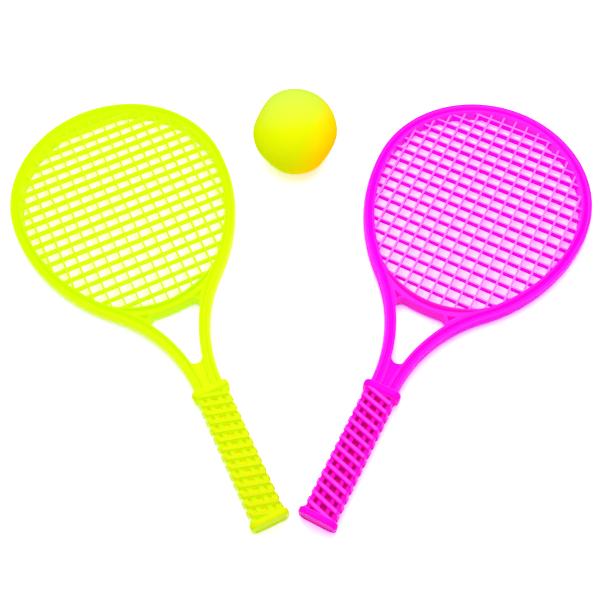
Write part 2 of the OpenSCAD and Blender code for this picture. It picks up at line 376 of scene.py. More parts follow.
class Wiring:
    """The nodes of a tree and the links between them."""

    SHARED = {"Math": "ShaderNode", "CombineXYZ": "ShaderNode"}

    def __init__(self, tree: NodeTree, family: str) -> None:
        """Takes a tree and the family that most of its nodes are of."""
        self.tree = tree
        self.family = family

    def add(self, kind: str, inputs: dict[str | int, Any], out: str | int = 0, **settings: Any) -> NodeSocket:
        """Adds a node.

        Args:
            kind: Name of the node's type, without its family.
            inputs: A socket, a list of sockets or a plain value for each input, by name or number.
            out: The output that is wanted, by name or number.
            settings: The node's own settings.

        Returns:
            That output.
        """
        node = self.tree.nodes.new(self.SHARED.get(kind, self.family) + kind)
        for key, value in settings.items():
            setattr(node, key, value)
        self.feed(node, inputs)
        return node.outputs[out]

    def feed(self, node: Node, inputs: dict[str | int, Any]) -> None:
        """Links or sets the inputs of a node.

        Args:
            node: The node.
            inputs: A socket, a list of sockets or a plain value for each input, by name or number.
        """
        for key, value in inputs.items():
            for one in value if isinstance(value, list) else [value]:
                if isinstance(one, NodeSocket):
                    self.tree.links.new(one, node.inputs[key])
                else:
                    node.inputs[key].default_value = one


class Recipe(Wiring):
    """A Geometry Nodes tree with named inputs for its sizes."""

    def __init__(self, name: str) -> None:
        """Starts a tree with one geometry input and one geometry output."""
        tree = bpy.data.node_groups.new(name, "GeometryNodeTree")
        super().__init__(tree, "GeometryNode")
        for way in ("INPUT", "OUTPUT"):
            tree.interface.new_socket("Geometry", in_out=way, socket_type="NodeSocketGeometry")
        self.inlet = tree.nodes.new("NodeGroupInput")
        self.outlet = tree.nodes.new("NodeGroupOutput")

    @property
    def geometry(self) -> NodeSocket:
        """The geometry that the tree is run on."""
        return self.inlet.outputs[0]

    def size(self, name: str, kind: str = "Float") -> NodeSocket:
        """A named input of the tree."""
        self.tree.interface.new_socket(name, in_out="INPUT", socket_type="NodeSocket" + kind)
        return self.inlet.outputs[name]

    def close(self, geometry: NodeSocket, material: Material) -> None:
        """Ends the tree with real geometry in a material.

        Args:
            geometry: The geometry.
            material: Its finish.
        """
        real = self.add("RealizeInstances", {"Geometry": geometry})
        done = self.add("SetMaterial", {"Geometry": real, "Material": material})
        self.feed(self.outlet, {0: done})

    def grow(self, piece: Object, sizes: dict[str, Any]) -> Object:
        """Runs the tree on a piece.

        Args:
            piece: The object that gives the tree its geometry.
            sizes: A value for each named input.

        Returns:
            The same object, as a plain mesh.
        """
        modifier = piece.modifiers.new(self.tree.name, "NODES")
        modifier.node_group = self.tree
        for item in self.tree.interface.items_tree:
            if item.in_out == "INPUT" and item.name in sizes:
                modifier[item.identifier] = sizes[item.name]
        settle(piece)
        bpy.data.node_groups.remove(self.tree)
        return piece


@dataclass(frozen=True)
class Noise:
    """A noise, by its number of features in a metre and of finer layers."""

    scale: float
    detail: float


class Finish(Wiring):
    """A material's nodes, on the object's own coordinates."""

    def __init__(self, name: str) -> None:
        """Starts a material with its shader and coordinates."""
        self.material = bpy.data.materials.new(name)
        self.material.use_nodes = True
        super().__init__(self.material.node_tree, "ShaderNode")
        self.shader = self.tree.nodes["Principled BSDF"]
        self.place = self.add("TexCoord", {}, "Object")

    def noise(self, noise: Noise) -> NodeSocket:
        """The value of a noise."""
        return self.add("TexNoise", {"Vector": self.place, "Scale": noise.scale, "Detail": noise.detail})

    def spread(self, value: NodeSocket, low: float, high: float, start: float = NOISE_LOW,
               end: float = NOISE_HIGH) -> NodeSocket:
        """A value mapped from the range of start to end to that of low to high."""
        return self.add("MapRange", {"Value": value, "From Min": start, "From Max": end, "To Min": low,
                                     "To Max": high})

    def blend(self, share: NodeSocket, first: Any, second: Colour) -> NodeSocket:
        """A mix of two colours.

        Args:
            share: How much of the second colour.
            first: First colour, plain or a socket.
            second: Second colour.

        Returns:
            The mixed colour.
        """
        start = first if isinstance(first, NodeSocket) else (*first, 1)
        inputs = {"Factor": share, MIX_FIRST: start, MIX_SECOND: (*second, 1)}
        return self.add("Mix", inputs, MIX_RESULT, data_type="RGBA")

    def along(self, way: Vector, start: float, end: float) -> NodeSocket:
        """How far a point lies along a direction, from 0 at the start to 1 at the end."""
        dot = self.add("VectorMath", {0: self.place, 1: way}, "Value", operation="DOT_PRODUCT")
        return self.spread(dot, 0.0, 1.0, start, end)

    def mark(self, mark: Mark, start: float, end: float) -> NodeSocket:
        """How strongly a stored mark shows, from 0 at the start of its strength to 1 at the end."""
        stored = self.add("Attribute", {}, "Fac", attribute_name=mark.value)
        return self.spread(stored, 0.0, 1.0, start, end)

    def paint(self, colour: NodeSocket, painted_glow: float, gloss: float) -> None:
        """Gives the shader its colour, a painted glow in that colour and its gloss."""
        self.feed(self.shader, {"Base Color": colour, "Emission Color": colour, "Emission Strength": painted_glow,
                                "Specular IOR Level": gloss})

    def bump(self, noise: Noise, depth: float, strength: float) -> None:
        """Gives the shader's normal a relief.

        Args:
            noise: Height of the relief.
            depth: Its depth in metres.
            strength: How much of it shows.
        """
        inputs = {"Height": self.noise(noise), "Distance": depth, "Strength": strength}
        self.feed(self.shader, {"Normal": self.add("Bump", inputs)})


@dataclass(frozen=True)
class MouldedPlastic:
    """Moulded plastic in one strong pigment, shown with little gloss, with painted light and shade on it: a
    bounce tint, brighter walls, shaded hollows, highlighted edges and a glow.
    """

    slot: str
    light: Colour
    deep: Colour
    # painted bounce light: a warmer tint towards the butt
    painted_bounce: Colour
    # painted light: the colour of upright walls, brighter than faces turned up
    side: Colour
    # painted shade: the colour in channels, on rails and on walls
    shade: Colour
    # painted shade: the colour deep in pockets and dishes
    pocket: Colour
    # painted highlight: the paler colour on raised and rounded edges
    painted_highlight: Colour
    # painted glow: emission in the plastic's colour, though it is no lamp
    painted_glow: float
    gloss: float = 0.02
    ior: float = 1.49
    roughness: Span = (0.30, 0.44)
    painted_wall_light_span: Span = (0.5, 0.95)
    shade_span: Span = (0.0, 0.5)
    painted_pocket_shade_span: Span = (0.5, 1.0)
    painted_highlight_span: Span = (0.0, 1.0)
    clouds: Noise = Noise(28, 3)
    polish: Noise = Noise(420, 3)
    grain: Noise = Noise(900, 4)
    grain_depth: float = 0.0002
    grain_strength: float = 0.12

    def material(self, axis: Vector, neck: float, end: float) -> Material:
        """The plastic's material.

        Args:
            axis: Direction from the head to the butt.
            neck: Where the painted bounce tint starts along it, in metres.
            end: Where the tint is full.

        Returns:
            The material.
        """
        finish = Finish(self.slot)
        cloud = finish.spread(finish.noise(self.clouds), 0.0, 1.0)
        colour = finish.blend(cloud, self.light, self.deep)
        # Painted bounce light: the colour warms from the neck towards the butt
        colour = finish.blend(finish.along(axis, neck, end), colour, self.painted_bounce)
        # Painted light and shade from the stored marks: brighter walls, shade in channels and pockets,
        # highlights on edges
        for mark, span, layer in (
            (Mark.SIDE, self.painted_wall_light_span, self.side),
            (Mark.PAINTED_SHADE, self.shade_span, self.shade),
            (Mark.PAINTED_SHADE, self.painted_pocket_shade_span, self.pocket),
            (Mark.PAINTED_HIGHLIGHT, self.painted_highlight_span, self.painted_highlight),
        ):
            colour = finish.blend(finish.mark(mark, *span), colour, layer)
        finish.paint(colour, self.painted_glow, self.gloss)
        polish = finish.spread(finish.noise(self.polish), *self.roughness)
        finish.feed(finish.shader, {"Roughness": polish, "IOR": self.ior})
        finish.bump(self.grain, self.grain_depth, self.grain_strength)
        return finish.material


@dataclass(frozen=True)
class SoftFoam:
    """Matt foam with fine cells, with a painted sheen at the top, painted bounce light at the lower right and
    a painted glow.
    """

    slot: str = "ball_foam"
    light: Colour = (0.57, 0.67, 0.001)
    deep: Colour = (0.59, 0.65, 0.001)
    # painted sheen: a paler colour on the top, which faces the lamp
    painted_sheen: Colour = (0.48, 0.63, 0.045)
    # painted bounce light: an orange tint at the lower right, beside the magenta racket
    painted_bounce: Colour = (0.99, 0.58, 0.001)
    # painted glow: emission in the foam's colour, though it is no lamp
    painted_glow: float = 0.30
    gloss: float = 0.0
    roughness: float = 0.78
    painted_sheen_way: Spot = (-0.10, 0.62, 0.78)
    painted_sheen_span: Span = (0.30, 1.00)
    painted_bounce_way: Spot = (0.86, -0.33, -0.39)
    painted_bounce_span: Span = (0.10, 1.12)
    patches: Noise = Noise(55, 4)
    cells: Noise = Noise(1100, 5)
    cell_depth: float = 0.0006
    cell_strength: float = 0.35

    def material(self, centre: Vector, radius: float) -> Material:
        """The foam's material.

        Args:
            centre: Centre of the ball.
            radius: Its radius.

        Returns:
            The material.
        """
        finish = Finish(self.slot)
        colour = finish.blend(finish.spread(finish.noise(self.patches), 0.0, 1.0), self.light, self.deep)
        # Painted sheen towards the top, then painted bounce light towards the lower right
        for direction, (start, end), layer in ((self.painted_sheen_way, self.painted_sheen_span, self.painted_sheen),
                                               (self.painted_bounce_way, self.painted_bounce_span, self.painted_bounce)):
            way = Vector(direction).normalized()
            middle = way.dot(centre)
            share = finish.along(way, middle + start * radius, middle + end * radius)
            colour = finish.blend(share, colour, layer)
        finish.paint(colour, self.painted_glow, self.gloss)
        finish.feed(finish.shader, {"Roughness": self.roughness})
        finish.bump(self.cells, self.cell_depth, self.cell_strength)
        return finish.material


@dataclass(frozen=True)
class RacketSizes:
    """Sizes of a racket in millimetres, the same as those of its solids."""

    beam_w: float = 8.6
    beam_t: float = 12.6
    head_r: float = 85.4
    flank_r: float = 140.0
    arm_r: float = 121.0
    neck_x: float = 6.9
    collar_l: float = 6.5
    grip_l: float = 97.5
    butt_l: float = 4.8
    butt_t: float = 22.0
    butt_w: float = 29.0
    butt_edge_r: float = 1.6
    beam_draft: float = 0.9
    bridge_drop: float = 108.5
    bridge_r: float = 71.0

    @property
    def half(self) -> float:
        """Half the beam's width."""
        return self.beam_w / 2

    @property
    def flank_c(self) -> Vector:
        """Centre of the right flank's arc."""
        return Vector((self.head_r - self.flank_r, 0))

    @property
    def arm_c(self) -> Vector:
        """Centre of the right arm's arc."""
        x = self.neck_x + self.arm_r
        return Vector((x, -math.sqrt((self.flank_r + self.arm_r) ** 2 - (x - self.flank_c.x) ** 2)))

    @property
    def arm_inner_r(self) -> float:
        """Radius of the right arm's inner wall."""
        return self.arm_r + self.half

    @property
    def joint(self) -> Vector:
        """Where the inner walls of the right flank and arm meet."""
        return self.flank_c + (self.flank_r - self.half) * unit(self.arm_c - self.flank_c)

    @property
    def bridge_c(self) -> Vector:
        """Centre of the bridge's upper edge."""
        return Vector((0, self.bridge_r - self.bridge_drop))

    @property
    def neck_y(self) -> float:
        """Where the arms end on the collar."""
        return self.arm_c.y

    @property
    def grip_top_y(self) -> float:
        """Where the grip starts below the collar."""
        return self.neck_y - self.collar_l

    @property
    def grip_end_y(self) -> float:
        """Where the grip ends on the butt."""
        return self.grip_top_y - self.grip_l

    @property
    def butt_end_y(self) -> float:
        """The end of the racket."""
        return self.grip_end_y - self.butt_l

    @property
    def lean(self) -> float:
        """How far the racket leans, at rest on its butt and its tip, in radians."""
        run, rise = self.rest_run, (self.butt_t - self.beam_t) / 2 - self.butt_edge_r
        return math.atan(rise / run) + math.asin(self.butt_edge_r / math.hypot(run, rise))

    @property
    def tip_y(self) -> float:
        """The edge of the tip that rests on the floor."""
        return self.head_r + self.half - self.beam_draft

    @property
    def rest_run(self) -> float:
        """Distance between the two edges that it rests on."""
        return self.tip_y - self.grip_end_y + self.butt_edge_r

    @property
    def head_z(self) -> float:
        """Height of the head's centre above the floor."""
        return self.beam_t / 2 * math.cos(self.lean) + self.tip_y * math.sin(self.lean)

    def butt_side(self, yaw: float) -> float:
        """How far a butt reaches sideways from its head's centre, for a turn of yaw."""
        return ((self.butt_w / 2 - self.butt_edge_r) * math.cos(yaw)
                - (self.butt_end_y + self.butt_edge_r) * math.sin(yaw) + self.butt_edge_r)

    def butt_front(self, yaw: float) -> float:
        """How far a butt reaches to the front of its head's centre, for a turn of yaw."""
        return ((self.butt_end_y + self.butt_edge_r) * math.cos(yaw)
                - (self.butt_w / 2 - self.butt_edge_r) * math.sin(yaw) - self.butt_edge_r)

    def inner_wall(self, extra: float) -> list[Vector]:
        """Outline of the space inside the head, above the bridge.

        Args:
            extra: How far it runs into the walls.

        Returns:
            The closed outline.
        """
        flank = self.flank_r - self.half + extra
        low = meeting(self.flank_c, flank, self.bridge_c, self.bridge_r + extra)
        right = turn(Vector((0, 0)), self.head_r - self.half + extra, QUARTER, 0)
        right += arc_between(self.flank_c, self.flank_c + Vector((flank, 0)), low)[1:]
        right += arc_between(self.bridge_c, low, self.bridge_c - Vector((0, self.bridge_r + extra)))[1:]
        return right + mirrored(right)[1:-1]


class Piece(ABC):
    """A piece of a racket, in millimetres in the racket's frame."""

    sharp: float = SHARP_EDGE

    @abstractmethod
    def shape(self, name: str, material: Material) -> Object:
        """Makes the piece's mesh.

        Args:
            name: Name of the piece.
            material: Its finish.

        Returns:
            The piece, without marks.
        """

    def sunk(self, vert: MeshVertex) -> float:
        """How far a point lies in painted shade, from 0 to 1."""
        return 0.0

    def painted_highlight(self, vert: MeshVertex) -> float:
        """How far a point carries a painted highlight, from 0 to 1."""
        return 0.0

    def build(self, name: str, material: Material) -> Object:
        """Makes the piece and stores its marks.

        Args:
            name: Name of the piece.
            material: Its finish.

        Returns:
            The piece.
        """
        piece = self.shape(name, material)
        store(piece, Mark.PAINTED_SHADE, self.sunk)
        store(piece, Mark.PAINTED_HIGHLIGHT, self.painted_highlight)
        # Painted light: upright walls are shown brighter than faces turned up
        store(piece, Mark.SIDE, lambda vert: 1 - abs(vert.normal.z))
        return piece


@dataclass
class Rim(Piece):
    """The channelled beam up one arm, round the head and down the other arm."""

    sizes: RacketSizes
    inner_rail_w: float = 1.4
    outer_rail_w: float = 2.2
    channel_lean: float = 0.6
    web_t: float = 4.0
    edge: float = 0.55
    outer_edge: float = 0.8
    belly_r: float = 1.2
    fillet: float = 0.5
    overrun: float = 2.5
    spacing: float = 2.2
    # Strengths and limits of its painted shade and painted highlight
    shade_per_mm: float = 0.055
    shade_start: float = 0.5
    wall_slope: float = 0.2
    ridge_t: float = 0.6
    edge_highlight: float = 0.14
    top_highlight: float = 0.02
    top_slope: float = 0.95

    def section(self) -> list[Vector]:
        """Draws the beam's rounded section.

        Returns:
            Its closed outline, with X outwards.
        """
        half, top = self.sizes.half, self.sizes.beam_t / 2
        draft, floor = self.sizes.beam_draft, self.web_t / 2
        inner = -half + self.inner_rail_w
        outer = half - draft - self.outer_rail_w
        upper = [
            (-half, top, self.edge), (inner, top, self.edge), (inner + self.channel_lean, floor, self.fillet),
            (outer - self.channel_lean, floor, self.fillet), (outer, top, self.edge),
            (half - draft, top, self.outer_edge), (half, 0.0, self.belly_r),
        ]
        lower = [(x, -y, radius) for x, y, radius in reversed(upper[:-1])]
        return rounded(upper + lower)

    def path(self) -> list[Vector]:
        """Draws the beam's middle line.

        Returns:
            Its points, from the right arm's neck over the head to the left one's.
        """
        size = self.sizes
        bend = size.flank_c + size.flank_r * unit(size.arm_c - size.flank_c)
        neck = Vector((size.neck_x, size.neck_y))
        right = [neck - Vector((0, self.overrun))]
        right += arc_between(size.arm_c, neck, bend)
        right += arc_between(size.flank_c, bend, Vector((size.head_r, 0)))[1:]
        right += turn(Vector((0, 0)), size.head_r, 0, QUARTER)[1:]
        return right + mirrored(right)[1:]

    def shape(self, name: str, material: Material) -> Object:
        """Sweeps the section along the path.

        Args:
            name: Name of the piece.
            material: Its finish.

        Returns:
            The piece, without marks.
        """
        profile = line_mesh("beam_section", self.section(), closed=True)
        recipe = Recipe("beam_sweep")
        section, spacing = recipe.size("Section", "Object"), recipe.size("Spacing")
        outline = recipe.add("ObjectInfo", {"Object": section}, "Geometry")
        ring = recipe.add("MeshToCurve", {"Mesh": outline})
        line = recipe.add("MeshToCurve", {"Mesh": recipe.geometry})
        even = recipe.add("ResampleCurve", {"Curve": line, "Length": spacing}, mode="LENGTH")
        upright = recipe.add("SetCurveNormal", {"Curve": even}, mode="Z_UP")
        swept = recipe.add("CurveToMesh", {"Curve": upright, "Profile Curve": ring, "Fill Caps": True})
        recipe.close(swept, material)
        piece = recipe.grow(line_mesh(name, self.path()), {"Section": profile, "Spacing": self.spacing})
        bpy.data.objects.remove(profile)
        return piece

    def sunk(self, vert: MeshVertex) -> float:
        """Painted shade that grows with the depth in the channel, but not on upright walls."""
        depth = self.sizes.beam_t / 2 - self.shade_start - abs(vert.co.z)
        return self.shade_per_mm * depth * (abs(vert.normal.z) > self.wall_slope)

    def painted_highlight(self, vert: MeshVertex) -> float:
        """Painted highlight on the rails, most of all on their rounded edges."""
        strength = self.edge_highlight if abs(vert.normal.z) < self.top_slope else self.top_highlight
        return (abs(vert.co.z) > self.sizes.beam_t / 2 - self.ridge_t) * strength


@dataclass
class Bridge(Piece):
    """The channelled arc above the throat, with a pocketed gusset at each end."""

    sizes: RacketSizes
    width: float = 7.4
    lower_r: float = 110.0
    channel_r: float = 62.0
    channel_stop: float = 0.25
    lower_rail_w: float = 2.8
    upper_rail_w: float = 1.4
    corner_rail_w: float = 3.9
    corner_r: float = 5.6
    corner_rim_w: float = 1.4
    web_t: float = 4.0
    web_inset: float = 0.5
    edge: float = 0.5
    seat: float = 0.7
    # Strengths and limits of its painted shade and painted highlight
    shade: float = 0.32
    shade_t: float = 0.1
    wall_slope: float = 0.3
    highlight_strength: float = 0.08
    ridge_t: float = 0.6

    @property
    def lower_c(self) -> Vector:
        """Centre of the lower edge."""
        return Vector((0, -self.sizes.bridge_drop - self.width + self.lower_r))

    @property
    def channel_c(self) -> Vector:
        """Centre of the channel's lower wall."""
        return Vector((0, -self.sizes.bridge_drop - self.width + self.lower_rail_w + self.channel_r))

    @property
    def corner_c(self) -> Vector:
        """Centre of the throat's rounded right corner."""
        return meeting(self.lower_c, self.lower_r + self.corner_r, self.sizes.arm_c,
                       self.sizes.arm_inner_r + self.corner_r)

    def outline(self) -> list[Vector]:
        """Draws the bridge's outline, seated in the arms.

        Returns:
            The closed outline.
        """
        size, corner_c = self.sizes, self.corner_c
        arm_c, flank_c, bridge_c = size.arm_c, size.flank_c, size.bridge_c
        top = corner_c + self.corner_r * unit(self.lower_c - corner_c)
        side = corner_c + self.corner_r * unit(arm_c - corner_c)
        seat = side + self.seat * unit(arm_c - side)
        flank = size.flank_r - size.half + self.seat
        bend = flank_c + flank * unit(arm_c - flank_c)
        head = meeting(flank_c, flank, bridge_c, size.bridge_r)
        right = arc_between(self.lower_c, self.lower_c - Vector((0, self.lower_r)), top)
        right += arc_between(corner_c, top, side, SMALL_ARC_STEP)[1:]
        right += arc_between(arm_c, seat, bend)
        right += arc_between(flank_c, bend, head)[1:]
        right += arc_between(bridge_c, head, bridge_c - Vector((0, size.bridge_r)))[1:]
        return right + mirrored(right)[1:-1]

    def channel(self) -> list[Vector]:
        """Draws the channel's outline.

        Returns:
            The closed outline.
        """
        arm_c, bridge_c = self.sizes.arm_c, self.sizes.bridge_c
        stop = self.sizes.arm_inner_r + self.channel_stop
        upper_r = self.sizes.bridge_r + self.upper_rail_w
        low = meeting(self.channel_c, self.channel_r, arm_c, stop)
        high = meeting(bridge_c, upper_r, arm_c, stop)
        right = arc_between(bridge_c, bridge_c - Vector((0, upper_r)), high)
        right += arc_between(self.channel_c, low, self.channel_c - Vector((0, self.channel_r)))
        return right + mirrored(right)[1:-1]

    def pocket(self) -> list[Vector]:
        """Draws the outline of the right gusset's pocket.

        Returns:
            The closed outline.
        """
        arm_c, corner_c = self.sizes.arm_c, self.corner_c
        low_r = self.corner_r + self.corner_rim_w
        top_r = self.channel_r + self.corner_rail_w
        side_r = self.sizes.arm_inner_r + self.corner_rim_w
        left = meeting(corner_c, low_r, self.channel_c, top_r)
        top = meeting(self.channel_c, top_r, arm_c, side_r)
        low = meeting(arm_c, side_r, corner_c, low_r)
        ring = arc_between(self.channel_c, left, top, SMALL_ARC_STEP)
        ring += arc_between(arm_c, top, low, SMALL_ARC_STEP)[1:]
        return ring + arc_between(corner_c, low, left, SMALL_ARC_STEP)[1:-1]

    def shape(self, name: str, material: Material) -> Object:
        """Makes the bridge from a plate with holes and a thinner plate behind them.

        Args:
            name: Name of the piece.
            material: Its finish, which is given to it later.

        Returns:
            The piece, without marks.
        """
        pocket = self.pocket()
        holes = [self.channel(), pocket, mirrored(pocket)]
        frame_plate = slab("bridge_frame", self.outline(), holes, self.sizes.beam_t, self.edge)
        floor_plate = slab("bridge_floor", self.outline(), [], self.web_t, 0.0, self.web_inset)
        return joined(name, [frame_plate, floor_plate])

    def sunk(self, vert: MeshVertex) -> float:
        """Painted shade on the walls and the floor of the channel and the pockets."""
        on_floor = abs(vert.co.z) < self.web_t / 2 + self.shade_t
        return self.shade * (abs(vert.normal.z) < self.wall_slope or on_floor)

    def painted_highlight(self, vert: MeshVertex) -> float:
        """Painted highlight on the rails."""
        return self.highlight_strength * (abs(vert.co.z) > self.sizes.beam_t / 2 - self.ridge_t)


@dataclass
class Strings(Piece):
    """The moulded grid of mains and crosses."""

    sizes: RacketSizes
    mains: int = 15
    main_pitch: float = 10.5
    main_drop: float = 20.0
    crosses: int = 18
    cross_pitch: float = 10.1
    cross_drop: float = 11.7
    width: float = 1.6
    face_w: float = 1.5
    height: float = 6.2
    edge: float = 0.3
    cross_lower: float = 0.4
    seat: float = 0.8
    reach_share: float = 1.5
    mould_share: float = 4.0
    # Slopes between which its painted highlight grows
    highlight_start: float = 0.4
    highlight_range: float = 0.4

    def bar(self) -> Object:
        """Makes one string, a little wider in its middle plane than on its faces.

        Returns:
            The string, along X and longer than the head.
        """
        half, face, rise = self.width / 2, self.face_w / 2, self.height / 2
        right = [(face, rise, self.edge), (half, 0.0, self.edge), (face, -rise, self.edge)]
        section = rounded(right + [(-y, -z, r) for y, z, r in right])
        reach = self.reach_share * self.sizes.head_r
        return loft("string_bar", [[(x, p.x, p.y) for p in section] for x in (-reach, reach)])

    def places(self, name: str) -> Object:
        """Sets a point for each string, marked where it is a cross.

        Args:
            name: Name of the object.

        Returns:
            The points.
        """
        first = -(self.mains - 1) / 2 * self.main_pitch
        low = -(self.crosses - 1) / 2 * self.cross_pitch - self.cross_drop
        points = [(first + i * self.main_pitch, -self.main_drop, 0.0) for i in range(self.mains)]
        points += [(0.0, low + i * self.cross_pitch, 0.0) for i in range(self.crosses)]
        mesh = bpy.data.meshes.new(name)
        mesh.from_pydata(points, [], [])
        across = [0.0] * self.mains + [1.0] * self.crosses
        mesh.attributes.new("across", "FLOAT", "POINT").data.foreach_set("value", across)
        return new_object(name, mesh)

    def shape(self, name: str, material: Material) -> Object:
        """Sets a bar on each point and trims the grid to the inside of the head.

        Args:
            name: Name of the piece.
            material: Its finish.

        Returns:
            The piece, without marks.
        """
        recipe = Recipe("string_grid")
        low = recipe.size("Cross height")
        bar, mould = recipe.size("Bar", "Object"), recipe.size("Mould", "Object")
        across = recipe.add("InputNamedAttribute", {"Name": "across"}, data_type="FLOAT")
        string = recipe.add("ObjectInfo", {"Object": bar}, "Geometry")
        flat = recipe.add("CombineXYZ", {"X": 1.0, "Y": 1.0, "Z": low})
        crosses = recipe.add("SeparateGeometry", {"Geometry": recipe.geometry, "Selection": across},
                             "Selection", domain="POINT")
        mains = crosses.node.outputs["Inverted"]
        sets = []
        for points, scale, angle in ((mains, (1.0, 1.0, 1.0), QUARTER), (crosses, flat, 0.0)):
            row = recipe.add("InstanceOnPoints", {"Points": points, "Instance": string, "Scale": scale,
                                                  "Rotation": (0.0, 0.0, angle)})
            sets.append(recipe.add("RealizeInstances", {"Geometry": row}))
        grid = recipe.add("MeshBoolean", {"Mesh": sets}, operation="UNION", solver="MANIFOLD")
        room = recipe.add("ObjectInfo", {"Object": mould}, "Geometry")
        cut = recipe.add("MeshBoolean", {"Mesh": [grid, room]}, operation="INTERSECT", solver="MANIFOLD")
        recipe.close(cut, material)
        inside = self.sizes.inner_wall(self.seat)
        shapes = {"Bar": self.bar(),
                  "Mould": slab("string_mould", inside, [], self.mould_share * self.height, 0.0)}
        heights = {"Cross height": 1 - self.cross_lower / self.height}
        piece = recipe.grow(self.places(name), {**heights, **shapes})
        for shape in shapes.values():
            bpy.data.objects.remove(shape)
        return piece

    def painted_highlight(self, vert: MeshVertex) -> float:
        """Painted highlight on the faces, less so where they round off."""
        return (abs(vert.normal.z) - self.highlight_start) / self.highlight_range


@dataclass
class NeckWeb(Piece):
    """The plate between the arms, from the throat's round foot to the collar."""

    sizes: RacketSizes
    foot_r: float = 5.4
    thickness: float = 5.0
    edge: float = 0.6
    seat: float = 0.7
    overrun: float = 2.0
    shade: float = 0.25

    def outline(self) -> list[Vector]:
        """Draws the plate's outline, seated in the arms and the collar.

        Returns:
            The closed outline.
        """
        arm_c, inner = self.sizes.arm_c, self.sizes.arm_inner_r
        foot_c = Vector((0, arm_c.y + math.sqrt((inner + self.foot_r) ** 2 - arm_c.x ** 2)))
        side = foot_c + self.foot_r * unit(arm_c - foot_c)
        seat = side + self.seat * unit(arm_c - side)
        neck = arm_c - Vector((inner - self.seat, 0))
        right = [Vector((neck.x, neck.y - self.overrun))]
        right += arc_between(arm_c, neck, seat)
        right += arc_between(foot_c, side, foot_c - Vector((0, self.foot_r)), SMALL_ARC_STEP)
        return right + mirrored(right)[1:]

    def shape(self, name: str, material: Material) -> Object:
        """Makes the plate, whose finish is given to it later."""
        return slab(name, self.outline(), [], self.thickness, self.edge)

    def sunk(self, vert: MeshVertex) -> float:
        """An even painted shade."""
        return self.shade


@dataclass
class EndPlate(Piece):
    """A rounded plate across the grip: the collar bead, or the butt with its dished end."""

    top_y: float
    length: float
    width: float
    thickness: float
    corner_r: float
    edge: float
    border_w: float = 0.0
    dish: float = 0.0
    lip: float = 0.35
    dish_foot: tuple[Span, ...] = ((0.1, 0.2), (0.35, 0.0), (1.0, 0.0))
    land: float = 0.8
    corner_steps: int = 12
    edge_steps: int = 6
    lip_steps: int = 3
    # Strengths and limits of its painted shade and painted highlight
    shade: float = 0.2
    dish_shade: float = 0.55
    dish_slope: float = -0.5
    dish_depths: Span = (0.4, 1.2)
    highlight_strength: float = 0.12
    top_slope: float = 0.5
    end_slope: float = -0.9

    @property
    def end_y(self) -> float:
        """Where the plate ends."""
        return self.top_y - self.length

    def ring(self, inset: float, y: float) -> list[Spot]:
        """Draws a rounded rectangle across the grip.

        Args:
            inset: How far it is drawn in.
            y: Where it lies.

        Returns:
            Its points.
        """
        radius = self.corner_r - inset
        reach_x, reach_z = self.width / 2 - self.corner_r, self.thickness / 2 - self.corner_r
        points = []
        for quarter, (side, rise) in enumerate(((1, 1), (-1, 1), (-1, -1), (1, -1))):
            for angle in np.linspace(0, QUARTER, self.corner_steps + 1) + quarter * QUARTER:
                points.append((side * reach_x + radius * math.cos(angle), y,
                               rise * reach_z + radius * math.sin(angle)))
        return points

    def dish_rings(self) -> list[Span]:
        """Draws the dish from its lip to its floor.

        Returns:
            The inset and the place of each ring.
        """
        end, lip, outer = self.end_y, self.lip, self.border_w - self.lip
        rings = [(outer + lip * math.sin(angle), end + lip - lip * math.cos(angle))
                 for angle in np.linspace(0, QUARTER, self.lip_steps + 1)]
        return rings + [(self.border_w + inset, end + self.dish - rise) for inset, rise in self.dish_foot]

    def shape(self, name: str, material: Material) -> Object:
        """Skins the plate from its upper face to its end.

        Args:
            name: Name of the piece.
            material: Its finish, which is given to it later.

        Returns:
            The piece, without marks.
        """
        top, end, edge = self.top_y, self.end_y, self.edge
        turns = [(math.sin(angle), math.cos(angle)) for angle in np.linspace(0, QUARTER, self.edge_steps + 1)]
        rings = [(edge + self.land, top)]
        rings += [(edge - edge * sin, top - edge + edge * cos) for sin, cos in turns]
        rings += [(edge - edge * cos, end + edge - edge * sin) for sin, cos in turns]
        rings += self.dish_rings() if self.dish else [(edge + self.land, end)]
        return loft(name, [self.ring(inset, y) for inset, y in rings])

    def sunk(self, vert: MeshVertex) -> float:
        """An even painted shade, and a deeper one in the dish."""
        low, high = (self.end_y + share * self.dish for share in self.dish_depths)
        return self.dish_shade if vert.normal.y < self.dish_slope and low < vert.co.y < high else self.shade

    def painted_highlight(self, vert: MeshVertex) -> float:
        """Painted highlight on the upper and end faces."""
        return self.highlight_strength * (vert.normal.y > self.top_slope or vert.normal.y < self.end_slope)


